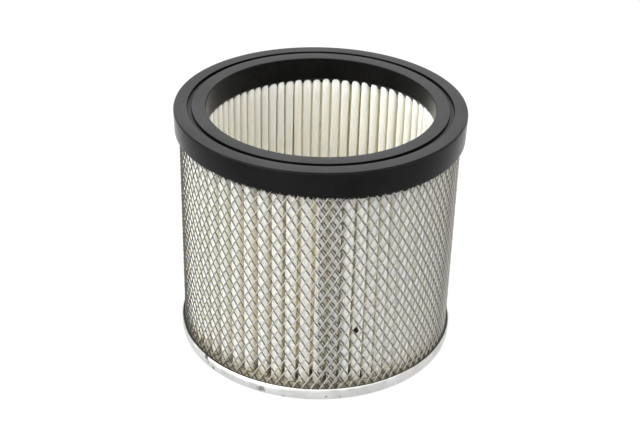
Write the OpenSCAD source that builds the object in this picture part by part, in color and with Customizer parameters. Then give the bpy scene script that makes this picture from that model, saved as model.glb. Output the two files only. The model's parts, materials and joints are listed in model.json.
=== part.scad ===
// Ash vacuum filter: a pleated ring of cream filter media in a sleeve of expanded metal,
// moulded at the top into an open black polyurethane ring with a sealing groove,
// and potted at the bottom into a closed dish of galvanised steel.
// Millimetres. The filter stands on its steel dish: the origin is the centre of the base,
// +Z points up through the open ring, and -Y is the side with the sleeve's overlap seam.

/* [Whole filter] */
// Height over everything
filter_h = 115; // [95:1:150]
// Radius of the open bore in the top ring
bore_r = 50.8; // [49:0.1:52]

/* [Top ring] */
// Height of the ring's outer skirt
skirt_h = 12; // [9:0.5:20]
// Cover of the skirt's lower edge over the sleeve
skirt_cover = 1.7; // [1:0.1:5]
// How much wider the ring is at the top than at the skirt's lower edge
skirt_draft = 0.3; // [0.1:0.1:0.5]
// Radius of the moulded outer top edge
top_round = 1; // [0.4:0.1:1.4]
// Radius of the moulded edge of the bore
bore_round = 0.5; // [0.2:0.1:1]
// Distance from the bore wall to the middle of the sealing groove
groove_in = 7.2; // [5:0.1:9]
// Width of the sealing groove
groove_w = 2; // [1:0.1:3]
// Depth of the sealing groove
groove_depth = 1.6; // [0.8:0.1:2.4]
// How far the pleats and the sleeve run up into the ring, from the skirt's edge
moulding_depth = 5; // [3:0.5:6]
// How far the ring's material runs down between the pleats, past the skirt's edge
creep_h = 1.5; // [0.5:0.1:3]
// Height of the slope under the bore wall, where the pleat tips come out
creep_slope_h = 3.2; // [2:0.1:4]
// Width of that slope
creep_slope_w = 2; // [1:0.1:3]

/* [Pleated media] */
// Number of pleats
pleat_count = 68; // [48:1:80]
// Depth of a pleat, from its inner tip to its outer tip
pleat_depth = 10.5; // [8:0.1:14]
// Thickness of the media
media_t = 0.6; // [0.4:0.05:0.8]
// Inside radius of each fold
crease_r = 0.35; // [0.2:0.05:0.5]
// Rubber that covers the inner tips on the bore wall
tip_cover = 0.4; // [0.3:0.1:0.8]
// Space between the outer tips and the sleeve
tip_gap = 0.3; // [0.2:0.05:0.6]
// Angle of the first pleat, from the front towards +X
pleat_start = -61.5; // [-180:0.5:180]
// Uneven spacing, once round the ring, in degrees
drift_once = 4.3; // [0:0.1:5]
// Where that drift starts, from the first pleat
drift_once_from = 7; // [0:1:359]
// Uneven spacing, twice round the ring, in degrees
drift_twice = 4.2; // [0:0.1:4.5]
// Where that one starts, from the first pleat
drift_twice_from = 14.5; // [0:0.5:179]

/* [Sleeve] */
// Thickness of the expanded metal sleeve's wall
sleeve_t = 1; // [0.8:0.05:1.4]
// Depth of the mesh pattern in that wall
mesh_depth = 0.6; // [0.3:0.05:0.7]
// Columns of diamonds round the sleeve
mesh_columns = 32; // [24:1:40]
// Half rows of diamonds up the sleeve
mesh_half_rows = 9; // [7:1:12]
// Width of a strand between two diamonds
strand_w = 1.4; // [0.8:0.1:2]
// One diamond in this many is open right through
open_every = 4; // [4:1:8]
// Width of the overlap seam
seam_w = 10.5; // [8:0.5:14]
// Extra thickness at the overlap seam
seam_t = 0.4; // [0.3:0.05:0.8]
// Angle of the seam's middle, from the front towards +X
seam_angle = 5.6; // [-180:0.1:180]

/* [Bottom dish] */
// Height of its rim
rim_h = 6.1; // [4.5:0.1:10]
// Space between the seam and the rim
rim_gap = 0.2; // [0.15:0.05:1]
// Thickness of its steel sheet
sheet_t = 0.5; // [0.3:0.05:0.8]
// Outside radius of the bend between the floor and the rim
dish_bend = 1.6; // [1.2:0.1:2.5]
// How far the trough for the adhesive reaches in from the pleats
trough_in = 3.7; // [3:0.1:10]
// How far the middle panel is pressed up
panel_rise = 1.5; // [0.8:0.1:2.5]
// Width of the slope round the middle panel
panel_slope = 1.5; // [0.8:0.1:2.5]

/* [Potting adhesive] */
// Adhesive under the pleats and the sleeve
potting_film = 1.2; // [0.8:0.1:2]
// How far the adhesive stands above the rim, inside the sleeve
potting_over = 1.9; // [0.5:0.1:4]
// How far the adhesive outside the sleeve stays below the rim's edge
potting_under = 0.6; // [0.3:0.1:2]
// How far the adhesive reaches in from the pleats
potting_in = 1.6; // [1.4:0.1:2.5]

/* [Hidden] */
$fn = 96;
sleeve_fn = 200;
eps = 1;

// Levels up the filter
skirt_z = filter_h - skirt_h;
seat_top_z = skirt_z + moulding_depth;
creep_z = skirt_z - creep_h;
seat_low_z = sheet_t + potting_film;
potting_z = rim_h + potting_over;
pack_h = seat_top_z - seat_low_z;

// Radii from the bore outwards
fold_r = crease_r + media_t;
mid_r = crease_r + media_t / 2;
tip_in_r = bore_r + tip_cover;
tip_out_r = tip_in_r + pleat_depth;
sleeve_in_r = tip_out_r + tip_gap;
sleeve_r = sleeve_in_r + sleeve_t;
sleeve_mid_r = sleeve_r - sleeve_t / 2;
seam_in_r = sleeve_in_r + (sleeve_t - mesh_depth) / 2;
seam_r = sleeve_r + seam_t;
rim_in_r = seam_r + rim_gap;
dish_r = rim_in_r + sheet_t;
skirt_r = sleeve_r + skirt_cover;
ring_r = skirt_r + skirt_draft;
groove_r = bore_r + groove_in;
trough_r = tip_in_r - trough_in;
panel_r = trough_r - panel_slope;
fold_steps = 2;

// A point at a radius and an angle, which is zero at the front and grows towards +X
function around(r, a) = [r * sin(a), -r * cos(a)];
function wrap(a) = a - 360 * floor(a / 360);

// Folds are counted round the ring: even ones point in and odd ones point out
folds = 2 * pleat_count;
function fold_turn(k) = k * 360 / folds;
function fold_angle(k) = let (u = fold_turn(k))
    pleat_start + u + drift_once * sin(u - drift_once_from)
        + drift_twice * sin(2 * (u - drift_twice_from));
function fold_centre(k) =
    around(k % 2 == 0 ? tip_in_r + fold_r : tip_out_r - fold_r, fold_angle(k));

// Direction from a fold's centre to where the flank that leads on to the next fold starts
function flank_side(k) = let (
        step = fold_centre(k + 1) - fold_centre(k),
        heading = atan2(step.y, step.x),
        lean = acos(2 * mid_r / norm(step)))
    k % 2 == 0 ? heading + lean : heading - lean;

// Points round one fold at a given distance from its centre
function fold_arc(k, r) = let (
        from = flank_side(k - 1 + folds) + 180,
        to = flank_side(k),
        sweep = k % 2 == 0 ? -wrap(from - to) : wrap(to - from),
        centre = fold_centre(k))
    [for (i = [0 : fold_steps]) let (a = from + sweep * i / fold_steps)
        centre + r * [cos(a), sin(a)]];

// One face of the folded sheet: its outer face is wide at the outer folds, its inner face
// at the inner ones
function pleat_face(r_in, r_out) =
    [for (k = [0 : folds - 1]) for (p = fold_arc(k, k % 2 == 0 ? r_in : r_out)) p];

// The folded sheet, as tall as it stands between the dish and the ring
module pleat_pack() {
    outer = pleat_face(crease_r, fold_r);
    inner = pleat_face(fold_r, crease_r);
    translate([0, 0, seat_low_z])
        linear_extrude(pack_h)
            polygon(concat(outer, inner), [
                [for (i = [0 : len(outer) - 1]) i],
                [for (i = [0 : len(inner) - 1]) len(outer) + i]]);
}

module tube(r_out, r_in, h) {
    difference() {
        cylinder(h = h, r = r_out, $fn = sleeve_fn);
        translate([0, 0, -eps]) cylinder(h = h + 2 * eps, r = r_in, $fn = sleeve_fn);
    }
}

// The sleeve's wall with no pattern, as it is held at its two ends
module sleeve_wall() {
    translate([0, 0, seat_low_z]) tube(sleeve_r, sleeve_in_r, pack_h);
}

// The strip where the sheet's two ends lie over each other, rooted in the wall behind it
module seam_strip() {
    half = degrees_along(seam_w / 2);
    translate([0, 0, seat_low_z])
        rotate([0, 0, seam_angle - 90 - half])
            rotate_extrude(angle = 2 * half)
                translate([seam_in_r, 0])
                    square([seam_r - seam_in_r, pack_h]);
}

// Diamond pattern between the dish's rim and the ring's skirt
mesh_z = potting_z;
mesh_h = skirt_z - mesh_z;
half_row = mesh_h / mesh_half_rows;
column = 360 / mesh_columns;
cell_w = 2 * PI * sleeve_r / mesh_columns;
seam_columns = 2;
function degrees_along(length) = length / sleeve_r * 180 / PI;

// A diamond, or its upper or lower half, which reaches in from the wall's outside
module diamond(angle, z, w, h, depth, r_out, up = true, down = true) {
    translate([0, 0, z])
        rotate([0, 0, angle])
            translate([0, -(r_out - depth), 0])
                rotate([90, 0, 0])
                    linear_extrude(depth + eps)
                        polygon(concat(
                            [[-w / 2, 0]],
                            down ? [[0, -h / 2]] : [],
                            [[w / 2, 0]],
                            up ? [[0, h / 2]] : []));
}

// Width and height of the opening left inside a cell by strands of a given width
function cell_opening(w, h, strand) = let (cut = strand / cos(atan(w / h)))
    [w - cut, h - cut * h / w];

module mesh_pattern() {
    size = cell_opening(cell_w, 2 * half_row, strand_w);
    for (row = [0 : mesh_half_rows])
        for (i = [0 : mesh_columns - 1]) {
            whole = row > 0 && row < mesh_half_rows;
            open = whole && (3 * i + floor(row / 2) + 2 * (row % 2)) % open_every == 0;
            diamond(seam_angle + (i + (row % 2) / 2) * column, mesh_z + row * half_row,
                size[0], size[1], open ? sleeve_t + eps : mesh_depth, sleeve_r,
                row < mesh_half_rows, row > 0);
        }
}

// The finer pattern where two layers of mesh cross each other
module seam_pattern() {
    w = seam_w / seam_columns;
    size = cell_opening(w, half_row, strand_w / 2);
    for (row = [1 : 2 * mesh_half_rows - 1])
        for (i = [0 : seam_columns - 1 - row % 2])
            diamond(seam_angle + degrees_along(w * (i + (row % 2) / 2 - (seam_columns - 1) / 2)),
                mesh_z + row * half_row / 2, size[0], size[1], seam_t, seam_r);
}

// Black polyurethane ring: a revolved section with the sealing groove in its top face,
// moulded round the ends of the pleats and of the sleeve
module end_ring() {
    color([0.11, 0.11, 0.12])
        difference() {
            rotate_extrude()
                difference() {
                    polygon([
                        [bore_r, skirt_z + creep_slope_h - creep_h],
                        [bore_r + creep_slope_w, creep_z],
                        [sleeve_mid_r, creep_z],
                        [sleeve_mid_r, skirt_z],
                        [skirt_r, skirt_z],
                        [ring_r, filter_h],
                        [bore_r, filter_h]]);
                    translate([ring_r - top_round, filter_h - top_round]) difference() {
                        square(top_round + eps);
                        circle(top_round);
                    }
                    translate([bore_r + bore_round, filter_h - bore_round]) difference() {
                        mirror([1, 0]) square(bore_round + eps);
                        circle(bore_round);
                    }
                    translate([groove_r - groove_w / 2, filter_h - groove_depth])
                        square([groove_w, groove_depth + eps]);
                }
            pleat_pack();
            sleeve_wall();
            seam_strip();
        }
}

// Galvanised sleeve of expanded metal, rolled from one sheet with a lapped seam
module outer_mesh() {
    color([0.72, 0.73, 0.73])
        difference() {
            union() {
                difference() {
                    sleeve_wall();
                    mesh_pattern();
                }
                seam_strip();
            }
            seam_pattern();
        }
}

// Cream filter media, folded into a ring of pleats
module pleated_media() {
    color([0.93, 0.90, 0.80]) pleat_pack();
}

// What the bend fills of the corner between the dish's floor and its rim, in section
module inner_bend() {
    translate([dish_r - dish_bend, dish_bend]) difference() {
        translate([0, -dish_bend]) square(dish_bend);
        circle(dish_bend - sheet_t);
    }
}

// Pressed steel dish: rim, bend, flat foot and raised middle panel, all one thin sheet
module bottom_dish() {
    lap = sheet_t * tan(atan(panel_rise / panel_slope) / 2);
    color([0.83, 0.84, 0.84])
        rotate_extrude()
            difference() {
                square([dish_r, rim_h]);
                translate([dish_r - dish_bend, dish_bend]) difference() {
                    translate([0, -dish_bend - eps]) square([dish_bend + eps, dish_bend + eps]);
                    circle(dish_bend);
                }
                difference() {
                    translate([-eps, sheet_t]) square([rim_in_r + eps, rim_h]);
                    inner_bend();
                    polygon([
                        [-eps, 0],
                        [trough_r, 0],
                        [trough_r, sheet_t],
                        [panel_r, sheet_t + panel_rise],
                        [-eps, sheet_t + panel_rise]]);
                }
                polygon([
                    [-eps, -eps],
                    [trough_r - lap, -eps],
                    [trough_r - lap, 0],
                    [panel_r - lap, panel_rise],
                    [-eps, panel_rise]]);
            }
}

// Cured adhesive: fills the dish's trough round the ends of the pleats and the sleeve
module potting_adhesive() {
    inner_r = tip_in_r - potting_in;
    color([0.30, 0.27, 0.18])
        difference() {
            rotate_extrude()
                difference() {
                    polygon([
                        [trough_r, sheet_t],
                        [rim_in_r, sheet_t],
                        [rim_in_r, rim_h - potting_under],
                        [sleeve_mid_r, rim_h - potting_under],
                        [sleeve_mid_r, potting_z],
                        [tip_in_r - fold_r, potting_z],
                        [inner_r, rim_h],
                        [inner_r, sheet_t + panel_rise]]);
                    inner_bend();
                }
            pleat_pack();
            sleeve_wall();
            seam_strip();
        }
}

end_ring();
outer_mesh();
pleated_media();
bottom_dish();
potting_adhesive();
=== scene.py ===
# %% [markdown]
# # Dressing an ash vacuum filter
# The real filter is a ring of pleated felt inside a sleeve of expanded metal. A moulded black ring holds
# both at the top, and a pressed steel dish with cured adhesive holds them at the bottom.
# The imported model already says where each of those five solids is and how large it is, so every cell below
# only has to give one piece or one finish its real look. Run the cells from top to bottom.

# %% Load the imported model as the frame
import json
import random
from math import atan2, ceil, cos, degrees, hypot, pi, radians, sin, sqrt, tau

import bmesh
import bpy
from mathutils import Matrix, Vector, noise


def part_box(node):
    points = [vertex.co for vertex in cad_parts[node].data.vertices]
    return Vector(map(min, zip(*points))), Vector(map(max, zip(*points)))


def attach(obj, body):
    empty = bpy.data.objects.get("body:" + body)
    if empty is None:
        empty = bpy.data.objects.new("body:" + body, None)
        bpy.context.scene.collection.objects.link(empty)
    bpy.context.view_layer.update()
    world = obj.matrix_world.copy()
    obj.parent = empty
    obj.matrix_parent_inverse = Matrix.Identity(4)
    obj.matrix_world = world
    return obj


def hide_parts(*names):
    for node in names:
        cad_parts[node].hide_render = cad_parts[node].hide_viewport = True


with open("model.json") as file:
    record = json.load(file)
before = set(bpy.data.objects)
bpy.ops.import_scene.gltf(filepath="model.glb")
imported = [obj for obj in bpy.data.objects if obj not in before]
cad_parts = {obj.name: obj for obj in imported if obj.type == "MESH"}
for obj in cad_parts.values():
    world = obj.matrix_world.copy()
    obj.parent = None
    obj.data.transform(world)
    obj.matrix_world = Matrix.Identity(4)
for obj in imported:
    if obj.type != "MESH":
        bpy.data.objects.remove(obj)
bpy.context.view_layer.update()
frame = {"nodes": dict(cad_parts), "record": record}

print("CAD nodes:", ", ".join(sorted(frame["nodes"])))

# %% [markdown]
# ## Sizes
# The frame gives the outer size of each solid, and the record gives the bore. Sizes that belong to a
# shape's detail, such as the groove, are named here too, in millimetres times MM, because Blender counts
# in metres. Angles start at the front, the side that faces -Y, and grow towards +X.

# %% Sizes of the five pieces
MM = 0.001
RING_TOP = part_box("end_ring")[1].z
RING_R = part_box("end_ring")[1].x
SLEEVE_R = -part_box("outer_mesh")[0].x
DISH_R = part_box("bottom_dish")[1].x
DISH_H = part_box("bottom_dish")[1].z
GLUE_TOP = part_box("potting_adhesive")[1].z
PACK_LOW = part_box("pleated_media")[0].z
PACK_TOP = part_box("pleated_media")[1].z
BORE_R = next(m["dims"]["r_mm"] for m in frame["record"]["mounts"] if m["name"] == "bore") * MM
SKIRT_H = 12 * MM
SKIRT_Z = RING_TOP - SKIRT_H
print(f"ring {RING_R / MM:.2f} mm in radius, {RING_TOP / MM:.1f} mm up, bore {BORE_R / MM:.1f} mm")


def around(r, angle, z=0.0):
    """The point at a radius, a height and an angle in degrees from the front."""
    return Vector((r * sin(radians(angle)), -r * cos(radians(angle)), z))


def angle_of(place):
    """The angle in degrees from the front of a point."""
    return degrees(atan2(place.x, -place.y))


# %% [markdown]
# ## Camera
# The photograph looks down at the filter from the front with a long lens. Its place comes from the
# ellipses of the ring and of the dish, whose proportions fix the tilt, the distance and the lens.
# The camera turns in the order roll, tilt and pan, so the three turns are multiplied from right to left.

# %% Camera at the photograph's place
CAMERA_PLACE = Vector((0, -514.34 * MM, 355.56 * MM))
CAMERA_PAN, CAMERA_TILT, CAMERA_ROLL = -0.0017, 0.5231, 0.027
lens = bpy.data.cameras.new("camera")
lens.lens, lens.sensor_width = 72.03, 36.0
lens.clip_start, lens.clip_end = 0.01, 20.0
camera = bpy.data.objects.new("camera", lens)
turns = (Matrix.Rotation(CAMERA_PAN, 4, "Z") @ Matrix.Rotation(pi / 2 - CAMERA_TILT, 4, "X")
         @ Matrix.Rotation(CAMERA_ROLL, 4, "Z"))
camera.matrix_world = Matrix.Translation(CAMERA_PLACE) @ turns
bpy.context.scene.collection.objects.link(camera)
bpy.context.scene.camera = camera
bpy.context.scene.view_settings.view_transform = "Standard"
print(f"camera {CAMERA_PLACE.length:.3f} m from the filter's foot, lens {lens.lens} mm")

# %% [markdown]
# ## Helpers for shader nodes
# A material is a small network of nodes. Adding them by hand takes four lines a node, so one helper
# adds a node, sets it and fills or links its sockets. Three short ones cover the nodes used most.

# %% Node helpers


def put(tree, kind, sockets=None, **settings):
    """Adds a shader node, sets it, and fills or links the sockets that are named."""
    made = tree.nodes.new("ShaderNode" + kind)
    for name, value in settings.items():
        setattr(made, name, value)
    for name, value in (sockets or {}).items():
        if isinstance(value, bpy.types.NodeSocket):
            tree.links.new(value, made.inputs[name])
        else:
            made.inputs[name].default_value = value
    return made


def maths(tree, operation, *values, clamp=False):
    """One Math node's result."""
    return put(tree, "Math", dict(enumerate(values)), operation=operation, use_clamp=clamp).outputs[0]


def remap(tree, value, low, high, to_low=0.0, to_high=1.0):
    """A value's range from low to high, stretched to another range and clamped."""
    sockets = {"Value": value, "From Min": low, "From Max": high, "To Min": to_low, "To Max": to_high}
    return put(tree, "MapRange", sockets).outputs["Result"]


def mix_colours(tree, share, one, other, blend="MIX"):
    """One colour turned towards another by a share."""
    sockets = {0: share, 6: one, 7: other}
    return put(tree, "Mix", sockets, data_type="RGBA", blend_type=blend).outputs[2]


def shade(value, tint=(1, 1, 1)):
    """An RGBA colour from a brightness and a tint."""
    return (value * tint[0], value * tint[1], value * tint[2], 1)


print("helpers:", put.__name__, maths.__name__, remap.__name__, mix_colours.__name__)

# %% [markdown]
# ## Floor, backdrop and lamps
# The photograph has a pure white background with almost no shadow. More light would wash the filter out,
# so the floor and the world show white to the camera, and to rays that come off gloss or metal, through
# the Light Path node. Other rays see a plain floor and a dimmer world. A tenth of the floor's own shading
# stays in what the camera sees, so the filter still has its soft shadow.

# %% World
WORLD_LIGHT = 0.8


def white_rays(tree):
    """1 for rays that should meet a white background: camera, glossy and transmission rays."""
    path = put(tree, "LightPath")
    seen = maths(tree, "ADD", path.outputs["Is Camera Ray"], path.outputs["Is Glossy Ray"])
    return maths(tree, "ADD", seen, path.outputs["Is Transmission Ray"], clamp=True)


world = bpy.data.worlds.new("studio")
world.use_nodes = True
sky = world.node_tree.nodes["Background"]
sky.inputs["Color"].default_value = shade(1)
strength = remap(world.node_tree, white_rays(world.node_tree), 0.0, 1.0, WORLD_LIGHT, 1.0)
world.node_tree.links.new(strength, sky.inputs["Strength"])
bpy.context.scene.world = world
print("world light", WORLD_LIGHT)

# %% Floor
FLOOR_HALF = 3.0
FLOOR_GLOW = 0.9


def pale_floor():
    """White to the camera, apart from a tenth of its own shading, which holds the shadow."""
    material = bpy.data.materials.new("pale_floor")
    material.use_nodes = True
    tree = material.node_tree
    tree.nodes.clear()
    paint = put(tree, "BsdfDiffuse", {"Color": shade(0.8)})
    glow = put(tree, "Emission", {"Color": shade(1), "Strength": 1.0})
    share = maths(tree, "MULTIPLY", white_rays(tree), FLOOR_GLOW)
    both = put(tree, "MixShader", {0: share, 1: paint.outputs[0], 2: glow.outputs[0]})
    put(tree, "OutputMaterial", {"Surface": both.outputs[0]})
    return material


bm = bmesh.new()
bmesh.ops.create_grid(bm, x_segments=1, y_segments=1, size=FLOOR_HALF)
floor_mesh = bpy.data.meshes.new("floor")
bm.to_mesh(floor_mesh)
bm.free()
floor = bpy.data.objects.new("floor", floor_mesh)
floor_mesh.materials.append(pale_floor())
bpy.context.scene.collection.objects.link(floor)
print("floor", 2 * FLOOR_HALF, "m across")

# %% [markdown]
# ## Lamps
# The left of the sleeve and the right of the bore's inside are the brightest in the photograph, so the
# main lamp is a very large soft one at the upper left. Its size keeps the mesh from casting hard shadows on
# the felt. A second one high at the right lights the left of the bore, and a weak one stands behind.

# %% Lamps


def soft_lamp(name, place, size, watts):
    """A square lamp that faces the middle of the filter."""
    lamp = bpy.data.lights.new(name, "AREA")
    lamp.size, lamp.energy = size, watts
    holder = bpy.data.objects.new(name, lamp)
    away = Vector(place) - Vector((0, 0, RING_TOP / 2))
    holder.location = place
    holder.rotation_mode = "QUATERNION"
    holder.rotation_quaternion = away.to_track_quat("Z", "Y")
    bpy.context.scene.collection.objects.link(holder)
    print(f"{name}: {away.length:.2f} m away, {watts} W")


soft_lamp("key_lamp", (-1.05, -0.6, 1.2), 1.7, 42.0)
soft_lamp("top_lamp", (0.5, -0.35, 1.5), 1.2, 18.0)
soft_lamp("back_lamp", (0.2, 1.1, 1.1), 0.9, 2.0)

# %% [markdown]
# ## Effects that several finishes share
# Grain, zinc and small marks each appear on more than one piece, so each is a node group that is built
# once and placed with its own values. A group gives out only values and colours that change over the
# surface, because shaders and reflections have to stay in the material itself.

# %% Node group helpers


def new_group(name, inputs, outputs):
    """An empty shader group, its input sockets from inside, and the sockets that it gives out."""
    tree = bpy.data.node_groups.new(name, "ShaderNodeTree")
    for label, kind, value in inputs:
        tree.interface.new_socket(label, in_out="INPUT", socket_type=kind).default_value = value
    for label, kind in outputs:
        tree.interface.new_socket(label, in_out="OUTPUT", socket_type=kind)
    return tree, tree.nodes.new("NodeGroupInput").outputs, tree.nodes.new("NodeGroupOutput").inputs


def place_group(tree, group, sockets):
    """A group node in a tree, with its sockets filled or linked."""
    made = tree.nodes.new("ShaderNodeGroup")
    made.node_tree = group
    for name, value in sockets.items():
        if isinstance(value, bpy.types.NodeSocket):
            tree.links.new(value, made.inputs[name])
        else:
            made.inputs[name].default_value = value
    return made.outputs


FLOAT, VECTOR = "NodeSocketFloat", "NodeSocketVector"
print("group helpers:", new_group.__name__, place_group.__name__)

# %% Group: clouds and grain


def make_grain():
    """Slow clouds and a fine grain, both from 0 to 1. Scale counts clouds in a metre."""
    tree, given, out = new_group("grain", [("Scale", FLOAT, 60.0), ("Fineness", FLOAT, 20.0)],
                                 [("Clouds", FLOAT), ("Grain", FLOAT)])
    place = put(tree, "TexCoord").outputs["Object"]
    slow = put(tree, "TexNoise", {"Vector": place, "Scale": given["Scale"], "Detail": 4.0})
    fine_scale = maths(tree, "MULTIPLY", given["Scale"], given["Fineness"])
    fine = put(tree, "TexNoise", {"Vector": place, "Scale": fine_scale, "Detail": 3.0})
    tree.links.new(remap(tree, slow.outputs[0], 0.3, 0.7), out["Clouds"])
    tree.links.new(remap(tree, fine.outputs[0], 0.25, 0.75), out["Grain"])
    return tree


GRAIN = make_grain()
print("group", GRAIN.name)

# %% Group: a small mark


def make_mark():
    """A ragged spot round one place: 1 in the middle, 0 outside its radius."""
    tree, given, out = new_group("mark", [("Place", VECTOR, (0, 0, 0)), ("Radius", FLOAT, 0.001)],
                                 [("Mask", FLOAT)])
    place = put(tree, "TexCoord").outputs["Object"]
    ragged = put(tree, "TexNoise", {"Vector": place, "Scale": 1400.0, "Detail": 2.0}).outputs[0]
    away = put(tree, "VectorMath", {0: place, 1: given["Place"]}, operation="DISTANCE").outputs["Value"]
    share = maths(tree, "DIVIDE", away, given["Radius"])
    rough = maths(tree, "ADD", share, remap(tree, ragged, 0.3, 0.7, -0.3, 0.3))
    tree.links.new(remap(tree, rough, 1.0, 0.45), out["Mask"])
    return tree


MARK = make_mark()


def marks(tree, spots):
    """The strongest of several marks, each given by a place, a radius and a strength."""
    total = 0.0
    for place, radius, strength in spots:
        mask = place_group(tree, MARK, {"Place": place, "Radius": radius})["Mask"]
        total = maths(tree, "MAXIMUM", total, maths(tree, "MULTIPLY", mask, strength))
    return total


print("group", MARK.name)

# %% Group: zinc


def make_zinc():
    """Galvanised steel: crystals of slightly different grey, and a fine stain between them."""
    tree, given, out = new_group("zinc", [("Scale", FLOAT, 300.0)], [("Tone", FLOAT), ("Stain", FLOAT)])
    place = put(tree, "TexCoord").outputs["Object"]
    bent = put(tree, "TexNoise", {"Vector": place, "Scale": given["Scale"], "Detail": 2.0})
    warp = put(tree, "VectorMath", {0: bent.outputs[1], "Scale": 0.002}, operation="SCALE")
    spot = put(tree, "VectorMath", {0: place, 1: warp.outputs[0]}, operation="ADD")
    crystal = put(tree, "TexVoronoi", {"Vector": spot.outputs[0], "Scale": given["Scale"]})
    stain = put(tree, "TexNoise", {"Vector": place, "Scale": 90.0, "Detail": 6.0})
    tree.links.new(put(tree, "SeparateColor", {0: crystal.outputs["Color"]}).outputs[0], out["Tone"])
    tree.links.new(remap(tree, stain.outputs[0], 0.42, 0.7), out["Stain"])
    return tree


ZINC = make_zinc()
print("group", ZINC.name)

# %% [markdown]
# ## Turning a section into a ring
# The ring, the dish and the adhesive are all bodies of revolution. Each starts as a few corners of its
# section, each corner is rounded by a vertex bevel, and one spin turns the section round the axis. That
# keeps the section easy to read and to change, which a list of finished points would not.

# %% Turned sections
STEPS_ROUND = 360


def turned(corners, closed=True, steps=STEPS_ROUND):
    """A section of corners (radius, height, rounding), turned once round the filter's axis."""
    bm = bmesh.new()
    verts = [bm.verts.new((r, 0, z)) for r, z, _ in corners]
    for one, other in zip(verts, verts[1:] + verts[:1] * closed):
        bm.edges.new((one, other))
    for vert, (_, _, rounding) in zip(verts, corners):
        if rounding:
            bmesh.ops.bevel(bm, geom=[vert], offset=rounding, segments=4, profile=0.5, affect="VERTICES",
                            material=-1)
    bmesh.ops.spin(bm, geom=bm.verts[:] + bm.edges[:], cent=(0, 0, 0), axis=(0, 0, 1), angle=tau,
                   steps=steps, use_merge=True)
    bmesh.ops.remove_doubles(bm, verts=bm.verts, dist=0.001 * MM)
    bmesh.ops.recalc_face_normals(bm, faces=bm.faces)
    return bm


def finish_piece(bm, name, node, material, sharp=35):
    """Makes an object of a mesh, which rides on the filter and stands for one solid."""
    mesh = bpy.data.meshes.new(name)
    bm.to_mesh(mesh)
    bm.free()
    mesh.shade_smooth()
    mesh.set_sharp_from_angle(angle=radians(sharp))
    mesh.materials.append(material)
    piece = bpy.data.objects.new(name, mesh)
    bpy.context.scene.collection.objects.link(piece)
    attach(piece, "root")
    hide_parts(node)
    triangles = sum(len(f.vertices) - 2 for f in mesh.polygons)
    print(f"{name}: {triangles} triangles")
    return piece


def new_finish(name):
    """A material, its node tree and its Principled shader."""
    material = bpy.data.materials.new(name)
    material.use_nodes = True
    return material, material.node_tree, material.node_tree.nodes["Principled BSDF"]


def link(tree, sockets, shader):
    """Links several results to a shader's sockets."""
    for name, value in sockets.items():
        tree.links.new(value, shader.inputs[name])


def bump(tree, height, strength, distance):
    """A Bump node's normal from a height."""
    return put(tree, "Bump", {"Height": height, "Strength": strength, "Distance": distance}).outputs[0]


print("turning helpers ready,", STEPS_ROUND, "steps round")

# %% [markdown]
# ## Black polyurethane
# The ring is poured from black polyurethane, which has a satin skin. Its colour is almost black, and most of
# its grey look comes from what it reflects at a low angle. Faces that look up, the lands above all, are
# painted a paler grey: a painted sheen. Slow clouds change the gloss a little, as on a part that has been
# handled, and a few pits and
# specks lie where the photograph shows them.

# %% Polyurethane finish


def black_polyurethane():
    """Satin black with clouds in its gloss, fine grain, a few pits and pale specks, and a painted sheen on
    faces that look up.
    """
    material, tree, skin = new_finish("black_polyurethane")
    grain = place_group(tree, GRAIN, {"Scale": 55.0, "Fineness": 26.0})
    pits = marks(tree, [(around(55.2 * MM, 123.7, RING_TOP), 0.55 * MM, 1.0),
                        (around(62.6 * MM, -39.7, RING_TOP), 0.5 * MM, 1.0),
                        (around(60.4 * MM, -36, RING_TOP), 0.35 * MM, 0.6)])
    specks = marks(tree, [(around(52.4 * MM, 4.6, RING_TOP), 0.5 * MM, 0.7),
                          (around(53.9 * MM, 7.6, RING_TOP), 0.3 * MM, 0.5)])
    up = put(tree, "SeparateXYZ", {0: put(tree, "NewGeometry").outputs["Normal"]}).outputs["Z"]
    flat = remap(tree, up, 0.6, 0.98)
    side = mix_colours(tree, grain["Clouds"], shade(0.002), shade(0.005, (1, 0.99, 1.02)))
    # Faces that look up take a paler colour than the sides: a painted sheen.
    painted_sheen_land = mix_colours(tree, grain["Clouds"], shade(0.026), shade(0.04, (1, 1, 1.03)))
    base = mix_colours(tree, flat, side, painted_sheen_land)
    base = mix_colours(tree, specks, base, shade(0.16))
    base = mix_colours(tree, pits, base, shade(0.002))
    gloss = mix_colours(tree, flat, shade(0.24), shade(0.42))
    gloss = maths(tree, "ADD", gloss, remap(tree, grain["Clouds"], 0.0, 1.0, -0.05, 0.05))
    height = maths(tree, "SUBTRACT", maths(tree, "MULTIPLY", grain["Grain"], 0.06), pits)
    link(tree, {"Base Color": base, "Roughness": gloss,
                "Normal": bump(tree, height, 0.6, 0.3 * MM)}, skin)
    skin.inputs["Specular IOR Level"].default_value = 0.09
    return material


POLYURETHANE = black_polyurethane()
print("finish", POLYURETHANE.name)

# %% [markdown]
# ## The moulded ring
# The ring is one casting: two flat lands with a narrow groove between them, a skirt outside and an open
# bore inside. A lathe-like spin of the section gives all of that at once. Two things are not round. The
# poured edge under the bore and the skirt's lower edge sit a little higher on one side, and some resin has
# crept down through the mesh. Both are moved after the spin, by a wave of the angle and by noise.

# %% Shape of the ring
GROOVE_R, GROOVE_W, GROOVE_D = 58 * MM, 2 * MM, 1.6 * MM
CREEP_Z = SKIRT_Z - 1.5 * MM
SEAT_H, SEAT_W = 3.2 * MM, 2 * MM
SKIRT_R = SLEEVE_R + 1.7 * MM
MESH_MID_R = SLEEVE_R - 0.5 * MM
LIP_DROP, LIP_STEP = 0.75 * MM, 0.16 * MM


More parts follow.
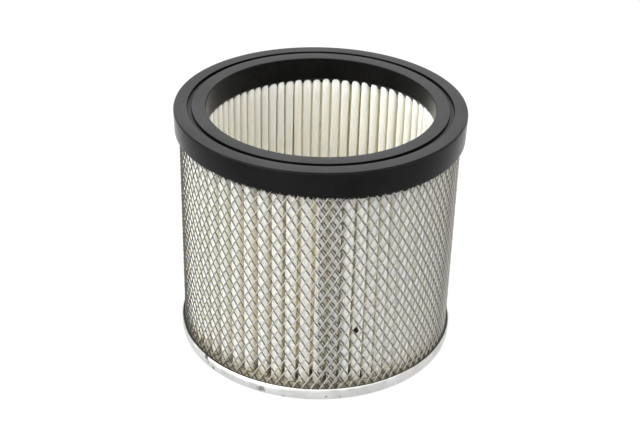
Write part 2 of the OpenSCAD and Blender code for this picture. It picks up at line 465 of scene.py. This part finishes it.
def ring_section():
    """Corners of the ring's section, from the foot of the bore wall outwards and back over the top."""
    groove_in, groove_out = GROOVE_R - GROOVE_W / 2, GROOVE_R + GROOVE_W / 2
    return [(BORE_R, CREEP_Z + SEAT_H, 0.3 * MM), (BORE_R + SEAT_W, CREEP_Z, 0),
            (MESH_MID_R, CREEP_Z, 0.3 * MM), (MESH_MID_R, SKIRT_Z, 0),
            (SKIRT_R - 0.9 * MM, SKIRT_Z, 0), (SKIRT_R, SKIRT_Z + 0.5 * MM, 0.3 * MM),
            (RING_R, RING_TOP - LIP_DROP, 0.3 * MM), (RING_R - LIP_STEP, RING_TOP - LIP_DROP, 0),
            (RING_R - LIP_STEP, RING_TOP, 0.6 * MM),
            (groove_out, RING_TOP, 0.2 * MM), (groove_out, RING_TOP - GROOVE_D, 0.25 * MM),
            (groove_in, RING_TOP - GROOVE_D, 0.25 * MM), (groove_in, RING_TOP, 0.2 * MM),
            (BORE_R, RING_TOP, 0.5 * MM)]


def skirt_wave(angle):
    """How much higher the skirt's lower edge sits at an angle."""
    return (-1.2 * sin(radians(angle)) - 0.35 * sin(radians(3 * angle))) * MM


def bore_wave(angle):
    """How much higher the bore wall's lower edge sits at an angle."""
    return 1.6 * sin(radians(angle)) * MM


def settle_resin(vert):
    """Moves one point of the ring's underside to where the resin set."""
    r, angle = hypot(vert.co.x, vert.co.y), angle_of(vert.co)
    if vert.co.z > SKIRT_Z + 3 * MM and r > MESH_MID_R:
        return
    ragged = noise.noise(Vector((angle * 0.9, 3.1, 0))) + 0.5 * noise.noise(Vector((angle * 2.3, 7.7, 0)))
    if r < MESH_MID_R - 5 * MM:
        if vert.co.z < CREEP_Z + SEAT_H + 0.5 * MM:
            vert.co.z += bore_wave(angle)
    elif r < MESH_MID_R + 0.1 * MM and vert.co.z < SKIRT_Z - 0.5 * MM:
        vert.co.z += skirt_wave(angle) + 1.1 * ragged * MM
    elif r > MESH_MID_R + 0.1 * MM:
        vert.co.z += skirt_wave(angle) + 0.25 * ragged * MM


bm = turned(ring_section(), steps=720)
for vert in bm.verts:
    settle_resin(vert)
finish_piece(bm, "moulded_ring", "end_ring", POLYURETHANE)

# %% [markdown]
# ## Expanded metal finish
# Expanded metal is sheet steel that was slit, stretched and dipped in zinc. The wide faces of its strands
# are bright, and the shear-cut edges are darker and duller. The wide faces of the strands that lean to the
# left are painted nearly as dark, as painted shade. The mesh stores in an attribute how much of each face
# takes this dark colour, and the finish reads it.

# %% Strand finish


def galvanised_strand():
    """Zinc on strands, darker on their shear-cut edges, with painted shade on the strands that lean to the
    left.
    """
    material, tree, metal = new_finish("galvanised_strand")
    zinc = place_group(tree, ZINC, {"Scale": 500.0})
    cut_edge_and_painted_shade = put(tree, "Attribute", attribute_name="cut_edge_and_painted_shade").outputs["Fac"]
    tone = remap(tree, zinc["Tone"], 0.0, 1.0, 0.8, 1.0)
    face = mix_colours(tree, tone, shade(0.22, (1, 0.97, 0.9)), shade(0.43, (1, 0.955, 0.87)))
    face = mix_colours(tree, maths(tree, "MULTIPLY", zinc["Stain"], 0.35), face, shade(0.3, (1, 0.95, 0.88)))
    # The attribute gives the dark colour to the cut edges and, as painted shade, to the strands that lean to
    # the left.
    base = mix_colours(tree, cut_edge_and_painted_shade, face, shade(0.085, (1, 0.95, 0.88)))
    gloss = mix_colours(tree, cut_edge_and_painted_shade, shade(0.38), shade(0.6))
    link(tree, {"Base Color": base, "Roughness": gloss}, metal)
    metal.inputs["Metallic"].default_value = 0.7
    return material


STRAND = galvanised_strand()
print("finish", STRAND.name)

# %% [markdown]
# ## The sleeve of expanded metal
# The sleeve holds about three thousand diamonds. Modelling one and repeating it would leave a seam at
# every joint, so the whole flat sheet is made first, as the factory does. A square grid is turned by 45
# degrees and stretched to the diamond's size, each cell is inset by half a strand, and the cells' middles
# are deleted. The strands are then tilted, thickened, cut to size and rolled, with the ends lapped.

# %% Sizes of the sheet
CELL_W, CELL_H = 3.995 * MM, 6.6 * MM
STRAND_W, STRAND_T = 0.52 * MM, 0.3 * MM
TILT = 0.3 * MM
SEAM_FROM, SEAM_TO = 0.8, 10.4
LAP_RISE = 0.42 * MM
LAP_LENGTH, LAP_EASE = 14 * MM, 10 * MM
SHEET_LEAN = 0.015
SHEET_LOW, SHEET_TOP = PACK_LOW, PACK_TOP - 0.5 * MM
SHEET_W = radians(360 + SEAM_TO - SEAM_FROM) * MESH_MID_R
SHEET_H = SHEET_TOP - SHEET_LOW
print(f"flat sheet {SHEET_W / MM:.0f} by {SHEET_H / MM:.0f} mm")


def inside_sheet(place, spare=0.0):
    """True if a point of the flat sheet lies within its cut size and a margin."""
    return abs(place.x) < SHEET_W / 2 + spare and abs(place.y) < SHEET_H / 2 + spare


# %% Slit and stretch the flat sheet


def stretched_sheet():
    """The flat sheet of open diamonds, somewhat larger than it is cut."""
    bm = bmesh.new()
    across = ceil(SHEET_W / CELL_W + SHEET_H / CELL_H) + 4
    bmesh.ops.create_grid(bm, x_segments=across, y_segments=across, size=across / 2)
    bmesh.ops.rotate(bm, verts=bm.verts, cent=(0, 0, 0), matrix=Matrix.Rotation(pi / 4, 3, "Z"))
    bmesh.ops.scale(bm, verts=bm.verts, vec=(CELL_W / sqrt(2), CELL_H / sqrt(2), 1))
    spare = [f for f in bm.faces if not inside_sheet(f.calc_center_median(), CELL_H)]
    bmesh.ops.delete(bm, geom=spare, context="FACES")
    cells = bm.faces[:]
    bmesh.ops.inset_individual(bm, faces=cells, thickness=STRAND_W / 2, use_even_offset=True)
    for cell in cells:
        corners = sorted(cell.verts, key=lambda v: v.co.x)
        corners[0].co.z += TILT
        corners[-1].co.z -= TILT
    bmesh.ops.delete(bm, geom=cells, context="FACES")
    return bm


bm = stretched_sheet()
print(f"stretched sheet: {len(bm.faces)} strand faces")

# %% Cut, thicken and roll the sheet


def cut_to_size(bm):
    """Cuts the flat sheet along its four sides."""
    for side in (Vector((1, 0, 0)), Vector((-1, 0, 0)), Vector((0, 1, 0)), Vector((0, -1, 0))):
        half = SHEET_W / 2 if side.x else SHEET_H / 2
        bmesh.ops.bisect_plane(bm, geom=bm.verts[:] + bm.edges[:] + bm.faces[:], plane_co=side * half,
                               plane_no=side, clear_outer=True)


def ease(x):
    """A smooth step from 0 to 1."""
    x = min(max(x, 0.0), 1.0)
    return x * x * (3 - 2 * x)


def rolled(place):
    """Where a point of the flat sheet lies once the sheet is rolled round the pleats."""
    along = place.x + SHEET_W / 2 - SHEET_LEAN * place.y
    angle = SEAM_FROM + degrees(along / MESH_MID_R)
    lap = ease((along - SHEET_W + LAP_LENGTH + LAP_EASE) / LAP_EASE)
    under = 1 - ease((along - LAP_LENGTH) / LAP_EASE)
    r = MESH_MID_R + place.z + LAP_RISE * lap - 0.12 * MM * under
    return around(r, angle, SHEET_LOW + SHEET_H / 2 + place.y)


cut_to_size(bm)
bmesh.ops.recalc_face_normals(bm, faces=bm.faces)
bmesh.ops.solidify(bm, geom=bm.faces[:], thickness=STRAND_T)
bm.normal_update()
cut_edge_and_painted_shade = bm.faces.layers.float.new("cut_edge_and_painted_shade")
for face in bm.faces:
    longest = max(face.edges, key=lambda e: e.calc_length())
    along = longest.verts[1].co - longest.verts[0].co
    # The wide faces of strands that lean to the left get most of the dark colour: painted shade.
    left_lean_painted_shade = 0.8 if along.x * along.y < 0 else 0.0
    face[cut_edge_and_painted_shade] = 1.0 if abs(face.normal.z) < 0.4 else left_lean_painted_shade
for vert in bm.verts:
    vert.co = rolled(vert.co)
bmesh.ops.recalc_face_normals(bm, faces=bm.faces)
finish_piece(bm, "expanded_metal_sleeve", "outer_mesh", STRAND, sharp=20)

# %% [markdown]
# ## Felt finish
# The media is a spunbonded felt in a warm cream. Light passes into it and spreads, which keeps the valleys
# between the pleats bright, so the finish uses subsurface scattering. Fine fibres show as a grain, and near
# the dish the adhesive has wicked up and turned the felt olive.

# %% Felt finish nodes
WICK_LOW, WICK_TOP = GLUE_TOP - 2 * MM, GLUE_TOP + 7 * MM


def cream_felt():
    """Cream felt with fibres, slow clouds and an olive wicking edge."""
    material, tree, felt = new_finish("cream_felt")
    grain = place_group(tree, GRAIN, {"Scale": 70.0, "Fineness": 22.0})
    place = put(tree, "TexCoord").outputs["Object"]
    height = put(tree, "SeparateXYZ", {0: place}).outputs["Z"]
    base = mix_colours(tree, grain["Clouds"], shade(0.95, (1, 0.945, 0.77)), shade(0.92, (1, 0.94, 0.74)))
    base = mix_colours(tree, maths(tree, "MULTIPLY", grain["Grain"], 0.3), base, shade(0.97, (1, 0.96, 0.85)))
    wick = maths(tree, "ADD", height, remap(tree, grain["Clouds"], 0.0, 1.0, -2 * MM, 2 * MM))
    base = mix_colours(tree, remap(tree, wick, WICK_TOP, WICK_LOW), base, shade(0.55, (1, 0.92, 0.64)))
    link(tree, {"Base Color": base, "Normal": bump(tree, grain["Grain"], 0.35, 0.15 * MM)}, felt)
    felt.inputs["Roughness"].default_value = 0.92
    felt.inputs["Specular IOR Level"].default_value = 0.15
    felt.inputs["Subsurface Weight"].default_value = 1.0
    felt.inputs["Subsurface Radius"].default_value = (1.0, 0.92, 0.75)
    felt.inputs["Subsurface Scale"].default_value = 3 * MM
    return material


FELT = cream_felt()
print("finish", FELT.name)

# %% [markdown]
# ## The pleated media
# One long strip of felt is folded 136 times and closed to a ring. A circle with two corners for each fold
# is a simple start: the pairs of corners move in and out by turns, the outline is pulled upwards, and a
# bevel on the upright edges rounds every fold. The pleats are not evenly spaced, as in the photograph, so
# the folds' angles follow two slow waves and a small chance of their own.

# %% Sizes of the folds
PLEATS = 68
PLEAT_START, DRIFT_ONCE, DRIFT_TWICE = -61.5, 4.3, 4.2
DRIFT_ONCE_FROM, DRIFT_TWICE_FROM = 7, 14.5
MEDIA_T = 0.6 * MM
TIP_IN_R, TIP_OUT_R = BORE_R + 0.4 * MM, SLEEVE_R - 1.3 * MM
IN_HALF, OUT_HALF = 1.75 * MM, 2.15 * MM
IN_ROUND, OUT_ROUND = 1.4 * MM, 1.6 * MM
LEVELS = 9
CHANCE = random.Random(7)
FOLD_SHIFTS = [(CHANCE.uniform(0, 0.25) * MM, CHANCE.uniform(-0.15, 0.15)) for _ in range(2 * PLEATS)]


def fold_angle(fold):
    """The angle of a fold, counted round the ring: even folds point in and odd ones out."""
    turn = fold * 180 / PLEATS
    return (PLEAT_START + turn + DRIFT_ONCE * sin(radians(turn - DRIFT_ONCE_FROM))
            + DRIFT_TWICE * sin(radians(2 * (turn - DRIFT_TWICE_FROM))))


def fold_corner(k):
    """One of the two corners at a fold's flat tip, which the bevel then rounds to one bend."""
    fold, side = divmod(k, 2)
    deep, aside = FOLD_SHIFTS[fold]
    if fold % 2 == 0:
        r, half = TIP_IN_R + MEDIA_T / 2 + deep, IN_HALF
    else:
        r, half = TIP_OUT_R - MEDIA_T / 2 - deep, OUT_HALF
    return around(r, fold_angle(fold) + aside + (2 * side - 1) * degrees(half / r), PACK_LOW)


print(f"{PLEATS} pleats, {(TIP_OUT_R - TIP_IN_R) / MM:.1f} mm deep")

# %% Fold the strip and close it to a ring


def folded_strip():
    """The felt's middle surface: a zigzag pulled up in levels."""
    bm = bmesh.new()
    circle = bmesh.ops.create_circle(bm, cap_ends=False, radius=TIP_OUT_R, segments=4 * PLEATS)
    for k, corner in enumerate(circle["verts"]):
        corner.co = fold_corner(k)
    row = bm.edges[:]
    for _ in range(LEVELS):
        pulled = bmesh.ops.extrude_edge_only(bm, edges=row)["geom"]
        raised = {v for v in pulled if isinstance(v, bmesh.types.BMVert)}
        bmesh.ops.translate(bm, verts=list(raised), vec=(0, 0, (PACK_TOP - PACK_LOW) / LEVELS))
        row = [e for e in pulled if isinstance(e, bmesh.types.BMEdge) and raised.issuperset(e.verts)]
    return bm


def round_folds(bm, inner, offset):
    """Bevels the upright edges of the inner or the outer folds."""
    middle = (TIP_IN_R + TIP_OUT_R) / 2
    upright = [e for e in bm.edges if abs(e.verts[0].co.z - e.verts[1].co.z) > 1 * MM]
    folds = [e for e in upright if (e.verts[0].co.xy.length < middle) == inner
             and (e.verts[1].co.xy.length < middle) == inner]
    bmesh.ops.bevel(bm, geom=folds, offset=offset, segments=4, profile=0.5, affect="EDGES", material=-1)


def wander(vert):
    """Leans a point of a pleat a little sideways, by noise that changes slowly with height."""
    angle, r = angle_of(vert.co), vert.co.xy.length
    lean = 0.4 * noise.noise(Vector((angle * 0.3, vert.co.z / (40 * MM), 5.0)))
    vert.co = around(r, angle + lean, vert.co.z)


bm = folded_strip()
round_folds(bm, True, IN_ROUND)
round_folds(bm, False, OUT_ROUND)
for vert in bm.verts:
    wander(vert)
bmesh.ops.recalc_face_normals(bm, faces=bm.faces)
drawn_area = sum(f.calc_area() for f in bm.faces)
media = finish_piece(bm, "pleated_media", "pleated_media", FELT, sharp=60)

# %% Thickness of the felt
wall = media.modifiers.new("thickness", "SOLIDIFY")
wall.thickness, wall.offset, wall.use_even_offset = MEDIA_T, 0.0, True

# %% [markdown]
# ## Galvanised sheet
# The dish is pressed from bright galvanised sheet. It reads almost white because it reflects a white room,
# with soft crystals in the zinc and a few dark stains where the photograph shows them.

# %% Dish finish


def galvanised_sheet():
    """Bright zinc with soft crystals and a few stains."""
    material, tree, metal = new_finish("galvanised_sheet")
    zinc = place_group(tree, ZINC, {"Scale": 240.0})
    stains = marks(tree, [(around(DISH_R, -50.3, 5.4 * MM), 1.7 * MM, 1.0),
                          (around(DISH_R, -49.0, 3.6 * MM), 1.3 * MM, 0.5),
                          (around(DISH_R, -45.9, 1.9 * MM), 1.1 * MM, 1.0),
                          (around(DISH_R, -21.4, 2.6 * MM), 2.3 * MM, 0.8),
                          (around(DISH_R, -20.2, 2.2 * MM), 1.0 * MM, 0.9),
                          (around(DISH_R, -12.1, 0.5 * MM), 1.2 * MM, 0.9),
                          (around(DISH_R, 5.0, 2.0 * MM), 0.9 * MM, 0.7),
                          (around(DISH_R, 10.6, 1.7 * MM), 0.8 * MM, 0.6)])
    face = mix_colours(tree, zinc["Tone"], shade(0.55, (1, 1, 0.985)), shade(0.66, (1, 1, 0.985)))
    face = mix_colours(tree, maths(tree, "MULTIPLY", zinc["Stain"], 0.5), face, shade(0.42, (1, 1, 0.95)))
    base = mix_colours(tree, stains, face, shade(0.06, (1, 1.04, 0.95)))
    gloss = remap(tree, zinc["Tone"], 0.0, 1.0, 0.3, 0.42)
    link(tree, {"Base Color": base, "Roughness": gloss,
                "Metallic": remap(tree, stains, 0.0, 1.0, 0.9, 0.3)}, metal)
    return material


SHEET_STEEL = galvanised_sheet()
print("finish", SHEET_STEEL.name)

# %% [markdown]
# ## The pressed dish
# The dish is one thin sheet, so only its outer face is drawn: middle panel, slope, flat foot, bend and rim.
# The spin turns that open line into a skin, and solidify gives it the sheet's thickness towards the
# inside. A shallow step runs round the rim where the press stopped, and the rim is a little uneven.

# %% Shape of the dish
SHEET_T = 0.5 * MM
DISH_BEND = 1.6 * MM
TROUGH_R, PANEL_R = TIP_IN_R - 3.9 * MM, TIP_IN_R - 5.4 * MM
PANEL_RISE = 1.5 * MM
STEP_Z, STEP_IN = 1.9 * MM, 0.3 * MM


def dish_line():
    """Corners of the dish's outer face, from the axis to the rim's edge."""
    return [(0, PANEL_RISE, 0), (PANEL_R, PANEL_RISE, 0.5 * MM), (TROUGH_R, 0, 0.5 * MM),
            (DISH_R - STEP_IN, 0, DISH_BEND * 0.8), (DISH_R - STEP_IN, STEP_Z, 0.08 * MM),
            (DISH_R, STEP_Z + 0.25 * MM, 0.1 * MM), (DISH_R, DISH_H, 0)]


def press_marks(vert):
    """Moves a point of the rim a little in or out, as pressing and handling left it."""
    r, angle = vert.co.xy.length, angle_of(vert.co)
    share = ease((r - TROUGH_R) / (DISH_R - TROUGH_R)) * ease(vert.co.z / DISH_H)
    shift = 0.14 * noise.noise(Vector((angle * 0.07, vert.co.z / (12 * MM), 9.0))) * share * MM
    return around(r + shift, angle, vert.co.z) if r > TROUGH_R else vert.co


bm = turned(dish_line(), closed=False)
for vert in bm.verts:
    vert.co = press_marks(vert)
middle_face = min(bm.faces, key=lambda f: f.calc_center_median().xy.length)
if middle_face.normal.z > 0:
    bmesh.ops.reverse_faces(bm, faces=bm.faces[:])
dish = finish_piece(bm, "pressed_dish", "bottom_dish", SHEET_STEEL, sharp=40)
plate = dish.modifiers.new("thickness", "SOLIDIFY")
plate.thickness, plate.offset, plate.use_even_offset = SHEET_T, -1.0, True
print(f"dish {2 * DISH_R / MM:.1f} mm across, {DISH_H / MM:.1f} mm high")

# %% [markdown]
# ## Cured adhesive
# The pleats stand in adhesive that was poured into the dish as a liquid. It set to a dark olive resin, with
# a satin skin and a top that creeps up where it meets the felt and the mesh.

# %% Adhesive finish
RIM_GAP_R = SLEEVE_R - 0.5 * MM


def cured_adhesive():
    """Dark olive resin with clouds, a satin skin and painted shade in the gap behind the dish's rim."""
    material, tree, resin = new_finish("cured_adhesive")
    grain = place_group(tree, GRAIN, {"Scale": 110.0, "Fineness": 12.0})
    base = mix_colours(tree, grain["Clouds"], shade(0.15, (1, 0.9, 0.6)), shade(0.26, (1, 0.9, 0.62)))
    place = put(tree, "SeparateXYZ", {0: put(tree, "TexCoord").outputs["Object"]}).outputs
    squares = [maths(tree, "MULTIPLY", place[axis], place[axis]) for axis in ("X", "Y")]
    away = maths(tree, "SQRT", maths(tree, "ADD", *squares))
    # Past the gap's radius the resin is painted near black: painted shade in the gap between the rim and the
    # sleeve.
    base = mix_colours(tree, remap(tree, away, RIM_GAP_R - 0.2 * MM, RIM_GAP_R), base, shade(0.015))
    link(tree, {"Base Color": base, "Roughness": remap(tree, grain["Grain"], 0.0, 1.0, 0.35, 0.6),
                "Normal": bump(tree, grain["Clouds"], 0.5, 0.4 * MM)}, resin)
    return material


ADHESIVE = cured_adhesive()
print("finish", ADHESIVE.name)

# %% [markdown]
# ## The ring of adhesive
# The adhesive fills the dish under and between the pleats, so its section is the room between the dish,
# the sleeve and the pleats' feet. It is turned like the ring, and noise lowers its upper face in places.

# %% Adhesive


def adhesive_section():
    """Corners of the adhesive's section, from its foot at the inside outwards."""
    inside, sleeve_in = TIP_IN_R - 1.6 * MM, SLEEVE_R - 0.9 * MM
    return [(TROUGH_R + 0.1 * MM, SHEET_T, 0), (DISH_R - 0.6 * MM, SHEET_T, 0),
            (DISH_R - 0.6 * MM, DISH_H - 0.7 * MM, 0), (sleeve_in, DISH_H - 0.6 * MM, 0.2 * MM),
            (sleeve_in, GLUE_TOP, 0.3 * MM), (inside + 0.8 * MM, GLUE_TOP, 0.4 * MM),
            (inside, GLUE_TOP - 1.9 * MM, 0.4 * MM), (inside, SHEET_T + 1.5 * MM, 0)]


bm = turned(adhesive_section())
for vert in bm.verts:
    if vert.co.z > GLUE_TOP - 0.5 * MM:
        slow = Vector((vert.co.x, vert.co.y, 0)) / (9 * MM)
        vert.co.z -= 0.6 * abs(noise.noise(slow)) * MM
finish_piece(bm, "potting_adhesive", "potting_adhesive", ADHESIVE)

# %% [markdown]
# ## A drop of resin on the mesh
# One dark drop sits on the strands at the front, where resin dripped while the ring was poured. It is
# a small sphere, flattened against the sleeve and roughened by noise.

# %% Drop of resin
DROP_ANGLE, DROP_Z, DROP_R = 16.3, 36.3 * MM, 0.8 * MM

bm = bmesh.new()
bmesh.ops.create_icosphere(bm, subdivisions=3, radius=DROP_R)
for vert in bm.verts:
    vert.co *= 1 + 0.35 * noise.noise(vert.co / (0.7 * MM))
bmesh.ops.scale(bm, verts=bm.verts, vec=(1.3, 0.65, 1.75))
bmesh.ops.rotate(bm, verts=bm.verts, cent=(0, 0, 0), matrix=Matrix.Rotation(radians(DROP_ANGLE), 3, "Z"))
bmesh.ops.translate(bm, verts=bm.verts, vec=around(MESH_MID_R + 0.6 * MM, DROP_ANGLE, DROP_Z))
drop_mesh = bpy.data.meshes.new("resin_drop")
bm.to_mesh(drop_mesh)
bm.free()
drop_mesh.shade_smooth()
drop_mesh.materials.append(POLYURETHANE)
drop = bpy.data.objects.new("resin_drop", drop_mesh)
bpy.context.scene.collection.objects.link(drop)
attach(drop, "root")
print("drop at", [round(c / MM, 1) for c in around(MESH_MID_R, DROP_ANGLE, DROP_Z)], "mm")
